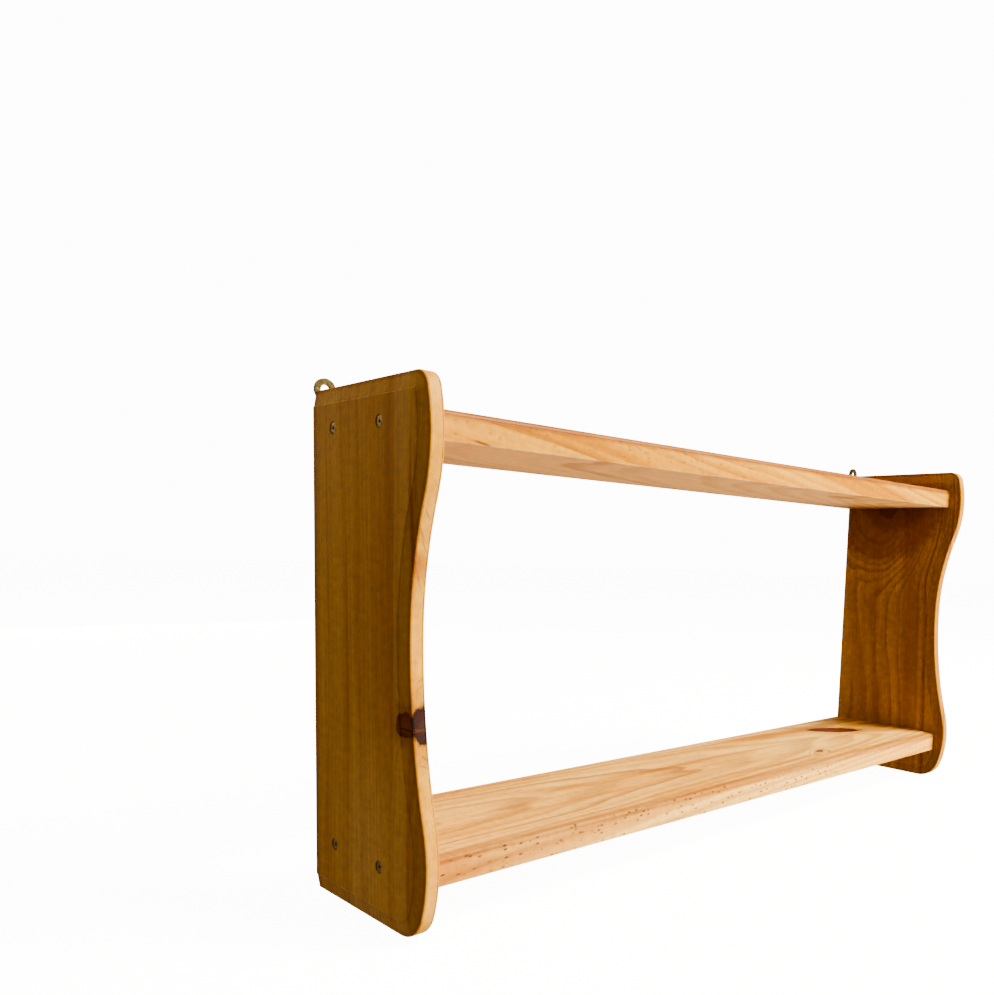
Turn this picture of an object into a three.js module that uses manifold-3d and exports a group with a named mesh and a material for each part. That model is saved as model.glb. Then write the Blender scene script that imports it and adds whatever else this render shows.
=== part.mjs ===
import * as THREE from 'three';
import { mergeVertices } from 'three/addons/utils/BufferGeometryUtils.js';
import Module from 'manifold-3d';

// A hanging wall shelf in pine: two waisted side boards, two shelf boards screwed between
// them, and a brass hanging eye on the back edge of each side.
// Millimetres. +X runs along the shelves, -Y is the front, +Z is up, the feet stand at Z = 0.

// Boards
const SIDE_HEIGHT = 350;
const SIDE_THICKNESS = 15;
const SIDE_DEPTH = 142;
const SHELF_LENGTH = 665;
const SHELF_DEPTH = 129.5;
const SHELF_THICKNESS = 20;
// From the floor to the underside of the bottom shelf
const BOTTOM_SHELF_RISE = 33;
// From the top of the sides down to the upper face of the top shelf
const TOP_SHELF_DROP = 19.5;

// Waisted front edge of a side: two round lobes with a long hollow between them
const UPPER_LOBE_RADIUS = 110;
const UPPER_LOBE_DROP = 36;
const LOWER_LOBE_RADIUS = 97;
const LOWER_LOBE_RISE = 48.5;
const LOWER_LOBE_SETBACK = 2;
const WAIST_RISE = 191;
const WAIST_SETBACK = 21.5;
const TOP_CORNER_RADIUS = 12;
const BOTTOM_CORNER_RADIUS = 25;

// Routed moulding of a side: a small step in the face, a slope, and a rounded arris at the edge
const MOULD_WIDTH = 11;
const MOULD_DEPTH = 3.6;
const MOULD_STEP = 0.6;
const MOULD_ROUND = 1.4;
const LEAST_CORNER_RADIUS = 0.5;

// Routed moulding of a shelf: a small step in the upper face, a slope, and a round nose at the front
const NOSE_WIDTH = 11;
const NOSE_STEP = 0.4;
const NOSE_FALL = 0.8;
const NOSE_DEPTH = 4;

// Countersunk screws through the sides into the shelf ends
const SHELF_SCREW = {
  headDiameter: 8,
  headRim: 0.4,
  diameter: 4,
  coreDiameter: 2.8,
  length: 40,
  shank: 16,
  threadPitch: 3,
  point: 4,
  recessSpan: 4.4,
  recessWidth: 1,
  recessDepth: 1.7,
};
const SHELF_SCREW_SINK = 0.4;
const SHELF_SCREW_FROM_BACK = 28;
const SHELF_SCREW_SPACING = 60;
const TOP_SCREW_RISE = 12.5;
const BOTTOM_SCREW_RISE = 6.5;

// Hanging eye: a flat brass plate with a round eye at its upper end
const EYE_DIAMETER = 15.4;
const EYE_HOLE_DIAMETER = 7;
const EYE_RISE = 1.7;
const EYE_FROM_OUTER_FACE = 9;
const PLATE_THICKNESS = 2;
const PLATE_SHOULDER = 2.2;
const PLATE_END_MARGIN = 7;

// Countersunk screws through the plate into the back edge of the side
const PLATE_SCREW = {
  headDiameter: 5.6,
  headRim: 0.2,
  diameter: 3,
  coreDiameter: 2.1,
  length: 16,
  shank: 5,
  threadPitch: 2.4,
  point: 2.5,
  recessSpan: 3.2,
  recessWidth: 0.8,
  recessDepth: 1.1,
};
const PLATE_SCREW_SINK = 0.1;
const PLATE_SCREW_DROP = 16;
const PLATE_SCREW_SPACING = 16;

// Play between a screw and the hole it sits in
const CLEARANCE = 0.3;
// How far a cutter runs past the face that it opens
const CUT_OVERRUN = 1;

// Facets
const CORNER_STEPS = 6;
const LOBE_STEPS = 3;
const WAIST_STEPS = 7;
const ROUND_STEPS = 3;
const NOSE_STEPS = 5;
const SCREW_SIDES = 10;
const HOLE_SIDES = 16;
const EYE_STEPS = 20;

// Places worked out from the sizes above
const OVERALL_LENGTH = SHELF_LENGTH + 2 * SIDE_THICKNESS;
const BACK_Y = (SIDE_DEPTH - PLATE_THICKNESS) / 2;
const TOP_SHELF_RISE = SIDE_HEIGHT - TOP_SHELF_DROP - SHELF_THICKNESS;
const WAIST_DEPTH = SIDE_DEPTH - WAIST_SETBACK;
const EYE_Z = SIDE_HEIGHT + EYE_RISE;
const EYE_X = OVERALL_LENGTH / 2 - EYE_FROM_OUTER_FACE;

const wasm = await Module();
wasm.setup();

// A geometry as a solid that can be cut, with its corners shared between its facets
function toSolid(geometry) {
  const bare = geometry.clone();
  bare.deleteAttribute('normal');
  bare.deleteAttribute('uv');
  const merged = mergeVertices(bare);
  const index = Array.from(merged.index.array);
  const kept = [];
  for (let i = 0; i < index.length; i += 3) {
    const [a, b, c] = index.slice(i, i + 3);
    if (a !== b && b !== c && c !== a) kept.push(a, b, c);
  }
  return new wasm.Manifold(new wasm.Mesh({
    numProp: 3,
    vertProperties: new Float32Array(merged.attributes.position.array),
    triVerts: new Uint32Array(kept),
  }));
}

function toGeometry(solid) {
  const mesh = solid.getMesh();
  const geometry = new THREE.BufferGeometry();
  geometry.setAttribute('position', new THREE.BufferAttribute(new Float32Array(mesh.vertProperties), 3));
  geometry.setIndex(new THREE.BufferAttribute(new Uint32Array(mesh.triVerts), 1));
  geometry.computeVertexNormals();
  return geometry;
}

function cut(geometry, cutters) {
  let solid = toSolid(geometry);
  for (const cutter of cutters) {
    solid = solid.subtract(toSolid(cutter));
  }
  return toGeometry(solid);
}

// Points along a circular arc, both ends included
function arc(centre, radius, from, to, steps) {
  const points = [];
  for (let i = 0; i <= steps; i++) {
    const angle = from + ((to - from) * i) / steps;
    const x = centre.x + radius * Math.cos(angle);
    const y = centre.y + radius * Math.sin(angle);
    points.push(new THREE.Vector2(x, y));
  }
  return points;
}

// The moulding's section from the face to the edge: x is the distance in from the edge,
// y is the depth below the face
function mouldSection() {
  const centre = new THREE.Vector2(MOULD_ROUND, MOULD_DEPTH);
  const round = arc(centre, MOULD_ROUND, -Math.PI / 2, -Math.PI, ROUND_STEPS);
  return [
    new THREE.Vector2(MOULD_WIDTH, 0),
    new THREE.Vector2(MOULD_WIDTH, MOULD_STEP),
    ...round,
  ];
}

// The shelf moulding's section, drawn in the same way
function noseSection() {
  const rise = NOSE_DEPTH - NOSE_FALL;
  const quarter = [-Math.PI / 2, -Math.PI];
  const nose = new THREE.EllipseCurve(NOSE_DEPTH, NOSE_DEPTH, NOSE_DEPTH, rise, ...quarter, true);
  return [
    new THREE.Vector2(NOSE_WIDTH, 0),
    new THREE.Vector2(NOSE_WIDTH, NOSE_STEP),
    ...nose.getPoints(NOSE_STEPS),
  ];
}

// The hollow that runs into a lobe: an arc with its deepest point at the waist
function waistHollow(lobe) {
  const setback = lobe.centre.x + lobe.radius - WAIST_DEPTH;
  const rise = lobe.centre.y - WAIST_RISE;
  const centreDistance = (setback ** 2 + rise ** 2) / (2 * setback);
  const radius = centreDistance - lobe.radius;
  const centre = new THREE.Vector2(WAIST_DEPTH + radius, WAIST_RISE);
  return { centre, radius, meets: centre.clone().sub(lobe.centre).angle() };
}

// The round corner between a lobe and the flat end of the side, upwards or downwards
function lobeCorner(lobe, inset, cornerRadius, flat, way) {
  const radius = Math.max(cornerRadius - inset, LEAST_CORNER_RADIUS);
  const y = flat - way * radius;
  const reach = lobe.radius - inset - radius;
  const rise = y - lobe.centre.y;
  const run = Math.sqrt(reach ** 2 - rise ** 2);
  const centre = new THREE.Vector2(lobe.centre.x + run, y);
  return { centre, radius, meets: Math.atan2(rise, run) };
}

// Outline of a side, drawn in by a given inset on its bottom, front and top edges.
// x is the depth in front of the back edge, y is the height.
function sideOutline(inset) {
  const upper = {
    centre: new THREE.Vector2(SIDE_DEPTH - UPPER_LOBE_RADIUS, SIDE_HEIGHT - UPPER_LOBE_DROP),
    radius: UPPER_LOBE_RADIUS,
  };
  const lower = {
    centre: new THREE.Vector2(SIDE_DEPTH - LOWER_LOBE_SETBACK - LOWER_LOBE_RADIUS, LOWER_LOBE_RISE),
    radius: LOWER_LOBE_RADIUS,
  };
  const top = SIDE_HEIGHT - inset;
  const foot = lobeCorner(lower, inset, BOTTOM_CORNER_RADIUS, inset, -1);
  const head = lobeCorner(upper, inset, TOP_CORNER_RADIUS, top, 1);
  const below = waistHollow(lower);
  const above = waistHollow(upper);
  const turn = Math.PI;
  const aboveMeets = above.meets - 2 * turn;
  const stretches = [
    arc(foot.centre, foot.radius, -turn / 2, foot.meets, CORNER_STEPS),
    arc(lower.centre, lower.radius - inset, foot.meets, 0, LOBE_STEPS),
    arc(lower.centre, lower.radius - inset, 0, below.meets, LOBE_STEPS),
    arc(below.centre, below.radius + inset, turn + below.meets, turn, WAIST_STEPS),
    arc(above.centre, above.radius + inset, turn, turn + aboveMeets, WAIST_STEPS),
    arc(upper.centre, upper.radius - inset, aboveMeets, 0, LOBE_STEPS),
    arc(upper.centre, upper.radius - inset, 0, head.meets, LOBE_STEPS),
    arc(head.centre, head.radius, head.meets, turn / 2, CORNER_STEPS),
  ];
  const front = stretches.flatMap((points, i) => (i === 0 ? points : points.slice(1)));
  return [new THREE.Vector2(0, inset), ...front, new THREE.Vector2(0, top)];
}

// A solid skinned over outlines stacked along X, closed by a flat face at each end
function loft(sections) {
  const count = sections[0].outline.length;
  const positions = sections.flatMap(({ x, outline }) => outline.flatMap((p) => [x, -p.x, p.y]));
  const index = [];
  for (let i = 0; i < sections.length - 1; i++) {
    for (let j = 0; j < count; j++) {
      const a = i * count + j;
      const b = i * count + ((j + 1) % count);
      index.push(a, a + count, b, b, a + count, b + count);
    }
  }
  const last = (sections.length - 1) * count;
  for (const [a, b, c] of THREE.ShapeUtils.triangulateShape(sections[0].outline, [])) {
    index.push(a, b, c);
  }
  for (const [a, b, c] of THREE.ShapeUtils.triangulateShape(sections[sections.length - 1].outline, [])) {
    index.push(last + a, last + c, last + b);
  }
  const geometry = new THREE.BufferGeometry();
  geometry.setAttribute('position', new THREE.Float32BufferAttribute(positions, 3));
  geometry.setIndex(index);
  return geometry;
}

// A side board before drilling, moulded on both faces, from X = 0 to its thickness
function sideBoard() {
  const mould = mouldSection();
  const nearFace = mould.map((p) => ({ x: p.y, outline: sideOutline(p.x) }));
  const farFace = mould.map((p) => ({ x: SIDE_THICKNESS - p.y, outline: sideOutline(p.x) })).reverse();
  return loft([...nearFace, ...farFace]);
}

// A shelf board before drilling, centred on X, moulded along its upper front edge
function shelfBoard() {
  const shape = new THREE.Shape();
  shape.moveTo(-SHELF_DEPTH, 0);
  shape.lineTo(0, 0);
  shape.lineTo(0, SHELF_THICKNESS);
  for (const p of noseSection()) {
    shape.lineTo(p.x - SHELF_DEPTH, SHELF_THICKNESS - p.y);
  }
  const geometry = new THREE.ExtrudeGeometry(shape, { depth: SHELF_LENGTH, bevelEnabled: false });
  const axes = [new THREE.Vector3(0, 1, 0), new THREE.Vector3(0, 0, 1), new THREE.Vector3(1, 0, 0)];
  geometry.applyMatrix4(new THREE.Matrix4().makeBasis(...axes));
  return geometry.translate(-SHELF_LENGTH / 2, 0, 0);
}

// A countersunk screw with its head at Y = 0 and its point towards -Y
function screwGeometry(size) {
  const head = size.headDiameter / 2;
  const shaft = size.diameter / 2;
  const core = size.coreDiameter / 2;
  const neck = size.headRim + head - shaft;
  const profile = [new THREE.Vector2(0, -size.length)];
  const turns = Math.floor((size.length - size.shank - size.point) / size.threadPitch);
  const threadEnd = size.shank + turns * size.threadPitch;
  for (let i = 0; i < turns; i++) {
    const y = -threadEnd + i * size.threadPitch;
    profile.push(new THREE.Vector2(core, y));
    profile.push(new THREE.Vector2(shaft, y + size.threadPitch / 2));
  }
  profile.push(new THREE.Vector2(core, -size.shank));
  profile.push(new THREE.Vector2(shaft, -size.shank + shaft - core));
  profile.push(new THREE.Vector2(shaft, -neck));
  profile.push(new THREE.Vector2(head, -size.headRim));
  profile.push(new THREE.Vector2(head, 0));
  profile.push(new THREE.Vector2(0, 0));
  const slotHeight = 2 * size.recessDepth;
  const along = new THREE.BoxGeometry(size.recessSpan, slotHeight, size.recessWidth);
  const across = new THREE.BoxGeometry(size.recessWidth, slotHeight, size.recessSpan);
  return cut(new THREE.LatheGeometry(profile, SCREW_SIDES), [along, across]);
}

// The drilled and countersunk hole for a screw, with its mouth at Y = 0
function screwHole(size, sink) {
  const head = size.headDiameter / 2 + CLEARANCE;
  const shaft = size.diameter / 2 + CLEARANCE;
  const seat = sink + size.headRim;
  const profile = [
    new THREE.Vector2(0, -sink - size.length - CLEARANCE),
    new THREE.Vector2(shaft, -sink - size.length - CLEARANCE),
    new THREE.Vector2(shaft, -seat - head + shaft),
    new THREE.Vector2(head, -seat),
    new THREE.Vector2(head, CUT_OVERRUN),
    new THREE.Vector2(0, CUT_OVERRUN),
  ];
  return new THREE.LatheGeometry(profile, HOLE_SIDES);
}

// The hanging eye plate, with the eye's centre at the origin, its seat on the wood at Y = 0
// and its back at Y = thickness
function eyePlate() {
  const eye = EYE_DIAMETER / 2;
  const half = eye - PLATE_SHOULDER;
  const end = PLATE_SCREW_DROP + PLATE_SCREW_SPACING + PLATE_END_MARGIN;
  const shoulder = Math.asin(half / eye) - Math.PI / 2;
  const origin = new THREE.Vector2(0, 0);
  const round = arc(origin, eye, shoulder, Math.PI - shoulder, EYE_STEPS);
  const tail = arc(new THREE.Vector2(0, half - end), half, -Math.PI, 0, EYE_STEPS / 2);
  const shape = new THREE.Shape([...round, ...tail]);
  shape.holes.push(new THREE.Path(arc(origin, EYE_HOLE_DIAMETER / 2, 0, 2 * Math.PI, EYE_STEPS).slice(1)));
  const geometry = new THREE.ExtrudeGeometry(shape, { depth: PLATE_THICKNESS, bevelEnabled: false });
  geometry.rotateX(Math.PI / 2);
  geometry.translate(0, PLATE_THICKNESS, 0);
  return geometry;
}

const pine = new THREE.MeshStandardMaterial({ color: 0xc98f45, roughness: 0.45, metalness: 0 });
const brass = new THREE.MeshStandardMaterial({ color: 0x8f8058, roughness: 0.4, metalness: 1 });
const platedSteel = new THREE.MeshStandardMaterial({ color: 0x8a7a58, roughness: 0.4, metalness: 1 });

const shelf = new THREE.Group();

function addPiece(name, geometry, material, position = new THREE.Vector3(), turn = 0) {
  const mesh = new THREE.Mesh(geometry, material);
  mesh.name = name;
  mesh.position.copy(position);
  mesh.rotation.z = turn;
  shelf.add(mesh);
}

// The screws' places. A screw in the left side points along +X, one in the right side along -X.
const sides = [
  { name: 'left', way: -1 },
  { name: 'right', way: 1 },
];
const shelfRows = [
  { name: 'top', rise: TOP_SHELF_RISE, screwRise: TOP_SCREW_RISE },
  { name: 'bottom', rise: BOTTOM_SHELF_RISE, screwRise: BOTTOM_SCREW_RISE },
];
const shelfColumns = [
  { name: 'back', y: BACK_Y - SHELF_SCREW_FROM_BACK },
  { name: 'front', y: BACK_Y - SHELF_SCREW_FROM_BACK - SHELF_SCREW_SPACING },
];
const shelfScrews = sides.flatMap((side) => shelfRows.flatMap((row) => shelfColumns.map((column) => ({
  name: `${side.name}_${row.name}_${column.name}_screw`,
  side,
  row,
  face: new THREE.Vector3((side.way * OVERALL_LENGTH) / 2, column.y, row.rise + row.screwRise),
  turn: (-side.way * Math.PI) / 2,
}))));
const plateRows = [
  { name: 'upper', z: EYE_Z - PLATE_SCREW_DROP },
  { name: 'lower', z: EYE_Z - PLATE_SCREW_DROP - PLATE_SCREW_SPACING },
];
const plateScrews = sides.flatMap((side) => plateRows.map((row) => ({
  name: `${side.name}_eye_${row.name}_screw`,
  side,
  face: new THREE.Vector3(side.way * EYE_X, BACK_Y + PLATE_THICKNESS, row.z),
})));

function shelfScrewHoles(wanted) {
  return shelfScrews.filter(wanted).map(({ face, turn }) => {
    const hole = screwHole(SHELF_SCREW, SHELF_SCREW_SINK);
    return hole.rotateZ(turn).translate(face.x, face.y, face.z);
  });
}

function plateScrewHoles(side) {
  return plateScrews.filter((screw) => screw.side === side).map(({ face }) => {
    const hole = screwHole(PLATE_SCREW, PLATE_SCREW_SINK);
    return hole.translate(face.x, face.y, face.z);
  });
}

for (const side of sides) {
  const nearFace = side.way < 0 ? -OVERALL_LENGTH / 2 : OVERALL_LENGTH / 2 - SIDE_THICKNESS;
  const board = sideBoard().translate(nearFace, BACK_Y, 0);
  const plate = eyePlate().translate(side.way * EYE_X, BACK_Y, EYE_Z);
  const drilled = [...shelfScrewHoles((screw) => screw.side === side), ...plateScrewHoles(side)];
  addPiece(`${side.name}_side`, cut(board, drilled), pine);
  addPiece(`${side.name}_hanging_eye`, cut(plate, plateScrewHoles(side)), brass);
}

for (const row of shelfRows) {
  const board = shelfBoard().translate(0, BACK_Y, row.rise);
  addPiece(`${row.name}_shelf`, cut(board, shelfScrewHoles((screw) => screw.row === row)), pine);
}

const shelfScrewShape = screwGeometry(SHELF_SCREW);
for (const { name, side, face, turn } of shelfScrews) {
  const sunk = face.clone().setX(face.x - side.way * SHELF_SCREW_SINK);
  addPiece(name, shelfScrewShape, platedSteel, sunk, turn);
}

const plateScrewShape = screwGeometry(PLATE_SCREW);
for (const { name, face } of plateScrews) {
  const sunk = face.clone().setY(face.y - PLATE_SCREW_SINK);
  addPiece(name, plateScrewShape, brass, sunk);
}

export default shelf;
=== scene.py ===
import math

import bmesh
import bpy
from mathutils import Matrix, Vector


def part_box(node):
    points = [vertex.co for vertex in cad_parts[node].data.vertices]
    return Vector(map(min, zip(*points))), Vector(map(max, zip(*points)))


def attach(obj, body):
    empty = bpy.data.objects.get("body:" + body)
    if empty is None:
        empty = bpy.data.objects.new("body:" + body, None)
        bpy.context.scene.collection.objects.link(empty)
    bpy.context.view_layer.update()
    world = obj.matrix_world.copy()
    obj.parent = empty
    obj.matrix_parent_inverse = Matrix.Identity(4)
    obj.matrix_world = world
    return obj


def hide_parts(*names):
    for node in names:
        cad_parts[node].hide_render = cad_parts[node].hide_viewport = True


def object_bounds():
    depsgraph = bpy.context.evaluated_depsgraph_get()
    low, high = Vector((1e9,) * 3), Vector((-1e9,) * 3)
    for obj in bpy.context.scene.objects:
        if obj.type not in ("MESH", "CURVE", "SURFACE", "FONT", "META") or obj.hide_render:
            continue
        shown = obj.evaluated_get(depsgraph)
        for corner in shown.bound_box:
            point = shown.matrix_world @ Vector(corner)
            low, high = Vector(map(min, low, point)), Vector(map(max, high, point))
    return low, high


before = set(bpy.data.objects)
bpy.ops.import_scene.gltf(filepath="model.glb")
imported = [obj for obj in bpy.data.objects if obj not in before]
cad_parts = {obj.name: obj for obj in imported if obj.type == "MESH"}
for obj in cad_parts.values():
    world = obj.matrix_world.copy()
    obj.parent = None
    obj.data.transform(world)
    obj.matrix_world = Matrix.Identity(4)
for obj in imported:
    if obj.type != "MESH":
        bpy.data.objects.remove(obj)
cad_low, cad_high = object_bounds()


# Side boards
# Two 15 mm planed pine boards, sawn to a waisted front edge. A router has run a shallow moulding
# with a small step along the top, front and bottom of both faces, and the boards are drilled and
# countersunk for the shelf screws. The grain runs upright under an amber satin varnish.

SIDE_HEIGHT = 0.350
BACK_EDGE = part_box("left_side")[1].y
UPPER_LOBE = {"radius": 0.110, "depth": 0.032, "height": 0.314}
LOWER_LOBE = {"radius": 0.097, "depth": 0.043, "height": 0.0485}
WAIST_HEIGHT = 0.191
WAIST_DEPTH = 0.1205
TOP_CORNER_RADIUS = 0.012
BOTTOM_CORNER_RADIUS = 0.025
MOULD_WIDTH = 0.011
MOULD_DEPTH = 0.0036
MOULD_ROUND = 0.0014
MOULD_STEP = 0.0006
STEP_ROUND = 0.001
# Fine groove that parts the moulding from the flat of the edge
QUIRK_WIDTH = 0.0005
QUIRK_DEPTH = 0.0002
# Spare length behind the back edge, sawn off after the moulding is run
OFFCUT = 0.030
CORNER_STEPS = 10
LOBE_STEPS = 24
# Play between a screw and its hole, as in the part, and how far a drill starts outside the face
SCREW_PLAY = 0.0003
CUT_OVERRUN = 0.001
TURNED_SIDES = 32
SHARP_ARRIS = math.radians(38)


def linear(colour):
    """An sRGB hex colour as the linear colour that a shader takes."""
    parts = [int(colour[i:i + 2], 16) / 255 for i in (1, 3, 5)]
    return [c / 12.92 if c <= 0.04045 else ((c + 0.055) / 1.055) ** 2.4 for c in parts] + [1]


def finished(name, bm, *materials):
    """An object from a bmesh, its faces turned outwards and its sharp arrises kept."""
    bmesh.ops.remove_doubles(bm, verts=bm.verts, dist=1e-7)
    bmesh.ops.recalc_face_normals(bm, faces=bm.faces)
    mesh = bpy.data.meshes.new(name)
    bm.to_mesh(mesh)
    bm.free()
    mesh.shade_smooth()
    mesh.set_sharp_from_angle(angle=SHARP_ARRIS)
    for material in materials:
        mesh.materials.append(material)
    piece = bpy.data.objects.new(name, mesh)
    bpy.context.scene.collection.objects.link(piece)
    return piece


def turned(outline, steps):
    """A closed turned shape: a half outline of (radius, height) spun about the Z axis."""
    bm = bmesh.new()
    verts = [bm.verts.new((r, 0, z)) for r, z in outline]
    edges = [bm.edges.new(pair) for pair in zip(verts, verts[1:])]
    bmesh.ops.spin(
        bm, geom=verts + edges, cent=(0, 0, 0), axis=(0, 0, 1), angle=2 * math.pi, steps=steps,
        use_merge=True,
    )
    bmesh.ops.remove_doubles(bm, verts=bm.verts, dist=1e-7)
    bmesh.ops.recalc_face_normals(bm, faces=bm.faces)
    return bm


def cut_away(piece, cutters):
    """Cut a list of closed bmeshes out of a piece."""
    for bm in cutters:
        tool_mesh = bpy.data.meshes.new("cutter")
        bm.to_mesh(tool_mesh)
        bm.free()
        tool = bpy.data.objects.new("cutter", tool_mesh)
        bpy.context.scene.collection.objects.link(tool)
        boolean = piece.modifiers.new("cut", "BOOLEAN")
        boolean.solver = "EXACT"
        boolean.object = tool
        bpy.context.view_layer.update()
        seen = bpy.context.evaluated_depsgraph_get()
        cut = bpy.data.meshes.new_from_object(
            piece.evaluated_get(seen), preserve_all_data_layers=True, depsgraph=seen
        )
        piece.modifiers.clear()
        old = piece.data
        piece.data = cut
        bpy.data.meshes.remove(old)
        bpy.data.objects.remove(tool)
        bpy.data.meshes.remove(tool_mesh)
    piece.data.name = piece.name


def square_faces(piece):
    """Shade the broad flat faces flat up to their rounded arrises."""
    weighted = piece.modifiers.new("flat faces", "WEIGHTED_NORMAL")
    weighted.keep_sharp = True


# Radius of the head, height of its rim, radius of the shaft and length, and how far the head is sunk
SHELF_SCREW = {"head": 0.004, "rim": 0.0004, "shaft": 0.002, "length": 0.040}
SHELF_SCREW_SINK = 0.0004


def countersunk_hole(screw, sink, place):
    """The drilled and countersunk hole for a screw, put in place by a matrix."""
    head = screw["head"] + SCREW_PLAY
    shaft = screw["shaft"] + SCREW_PLAY
    seat = sink + screw["rim"]
    end = sink + screw["length"] + SCREW_PLAY
    outline = [
        (0, CUT_OVERRUN), (head, CUT_OVERRUN), (head, -seat), (shaft, -seat - head + shaft),
        (shaft, -end), (0, -end),
    ]
    bm = turned(outline, TURNED_SIDES)
    bm.transform(place)
    return bm


def screw_place(node, way):
    """The place of a shelf screw on the outer face of its side: -Z along the screw."""
    low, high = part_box(node)
    face = way * cad_high.x
    middle = Matrix.Translation((face, (low.y + high.y) / 2, (low.z + high.z) / 2))
    return middle @ Matrix.Rotation(way * math.pi / 2, 4, "Y")


def waist_hollow(lobe):
    """Centre depth, radius and meeting angle of the hollow that runs from the waist into a lobe."""
    setback = lobe["depth"] + lobe["radius"] - WAIST_DEPTH
    rise = lobe["height"] - WAIST_HEIGHT
    reach = (setback ** 2 + rise ** 2) / (2 * setback)
    radius = reach - lobe["radius"]
    return WAIST_DEPTH + radius, math.atan2(-rise, WAIST_DEPTH + radius - lobe["depth"])


def lobe_corner(lobe, radius, flat, way):
    """Centre depth, centre height and meeting angle of the round corner between a lobe and a flat end."""
    height = flat - way * radius
    rise = height - lobe["height"]
    run = math.sqrt((lobe["radius"] - radius) ** 2 - rise ** 2)
    return lobe["depth"] + run, height, math.atan2(rise, run)


def verts_of(geometry):
    """The vertices in what a bmesh operator hands back."""
    return [part for part in geometry if isinstance(part, bmesh.types.BMVert)]


def waisted_board(name):
    """A side board sawn to its outline, with the moulding run round both of its faces."""
    low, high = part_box(name)
    foot_depth, foot_height, foot_meets = lobe_corner(LOWER_LOBE, BOTTOM_CORNER_RADIUS, 0, -1)
    head_depth, head_height, head_meets = lobe_corner(UPPER_LOBE, TOP_CORNER_RADIUS, SIDE_HEIGHT, 1)
    below_depth, below_meets = waist_hollow(LOWER_LOBE)
    above_depth, above_meets = waist_hollow(UPPER_LOBE)
    bends = [
        (foot_depth, foot_height, foot_meets + math.pi / 2, CORNER_STEPS),
        (LOWER_LOBE["depth"], LOWER_LOBE["height"], below_meets - foot_meets, LOBE_STEPS),
        (below_depth, WAIST_HEIGHT, -below_meets, LOBE_STEPS),
        (above_depth, WAIST_HEIGHT, above_meets, LOBE_STEPS),
        (UPPER_LOBE["depth"], UPPER_LOBE["height"], head_meets - above_meets, LOBE_STEPS),
        (head_depth, head_height, math.pi / 2 - head_meets, CORNER_STEPS),
    ]
    core_near = low.x + MOULD_DEPTH + QUIRK_WIDTH
    core_far = high.x - MOULD_DEPTH - QUIRK_WIDTH
    bm = bmesh.new()
    varnish_and_light = bm.verts.layers.float.new("pooled_varnish_and_painted_light")
    first = bm.verts.new((core_near, BACK_EDGE - foot_depth, 0))
    last = first
    for depth, height, angle, steps in bends:
        centre = (core_near, BACK_EDGE - depth, height)
        swept = bmesh.ops.spin(bm, geom=[last], cent=centre, axis=(-1, 0, 0), angle=angle, steps=steps)
        last = verts_of(swept["geom_last"])[0]
    top_back = bm.verts.new((core_near, BACK_EDGE + OFFCUT, SIDE_HEIGHT))
    bottom_back = bm.verts.new((core_near, BACK_EDGE + OFFCUT, 0))
    for pair in ((last, top_back), (top_back, bottom_back), (bottom_back, first)):
        bm.edges.new(pair)
    bmesh.ops.contextual_create(bm, geom=bm.edges[:])
    board = bmesh.ops.extrude_face_region(bm, geom=bm.faces[:])["geom"]
    bmesh.ops.translate(bm, verts=verts_of(board), vec=(core_far - core_near, 0, 0))
    bmesh.ops.recalc_face_normals(bm, faces=bm.faces)
    turns = [math.radians(a) for a in (0, 15, 30, 45, 60, 75, 90)]
    round_in = [MOULD_ROUND * (1 - math.cos(a)) for a in turns]
    round_up = [MOULD_ROUND * math.sin(a) for a in turns]
    # Each pass goes in and up by a little. Its two amounts darken it with pooled varnish and painted shade
    # or, below 0, lighten it with a painted highlight: the first is for the top edge, the second for the
    # rest
    # The groove: painted shade with pooled varnish; its far wall is left plain
    passes = [(QUIRK_DEPTH, QUIRK_WIDTH * 0.6, 0.5, 0.5), (-QUIRK_DEPTH, QUIRK_WIDTH * 0.4, 0, 0)]
    # The arris round: pooled varnish and painted shade
    for a, b, c, d in zip(round_in, round_in[1:], round_up, round_up[1:]):
        passes.append((b - a, d - c, 0.9, 0.9))
    slope_in = MOULD_WIDTH - MOULD_ROUND - STEP_ROUND / 2
    slope_up = MOULD_DEPTH - MOULD_ROUND - MOULD_STEP
    # The slope: a painted highlight along the top edge, painted shade with pooled varnish along the rest
    passes += [(slope_in * part, slope_up * part, -0.7, 0.35) for part in (0.25, 0.5, 0.25)]
    # The step: a painted highlight
    step_in = [STEP_ROUND * (1 - math.cos(a)) for a in turns]
    step_up = [MOULD_STEP * math.sin(a) for a in turns]
    for a, b, c, d in zip(step_in, step_in[1:], step_up, step_up[1:]):
        passes.append((b - a, d - c, -1, -0.8))
    # The flat face past the step gets neither pooled varnish nor painted light
    passes[-1] = (*passes[-1][:2], 0, 0)
    for face in [f for f in bm.faces if abs(f.normal.x) > 0.9]:
        for inset, rise, above, below in passes:
            bmesh.ops.inset_region(bm, faces=[face], thickness=inset, depth=rise, use_even_offset=True)
            for vert in face.verts:
                vert[varnish_and_light] = above if vert.co.z > SIDE_HEIGHT - TOP_CORNER_RADIUS else below
    sawn = bmesh.ops.bisect_plane(
        bm, geom=bm.verts[:] + bm.edges[:] + bm.faces[:], plane_co=(0, BACK_EDGE, 0), plane_no=(0, 1, 0),
        clear_outer=True,
    )
    saw_cut = [part for part in sawn["geom_cut"] if isinstance(part, bmesh.types.BMEdge)]
    bmesh.ops.contextual_create(bm, geom=saw_cut)
    return bm


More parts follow.
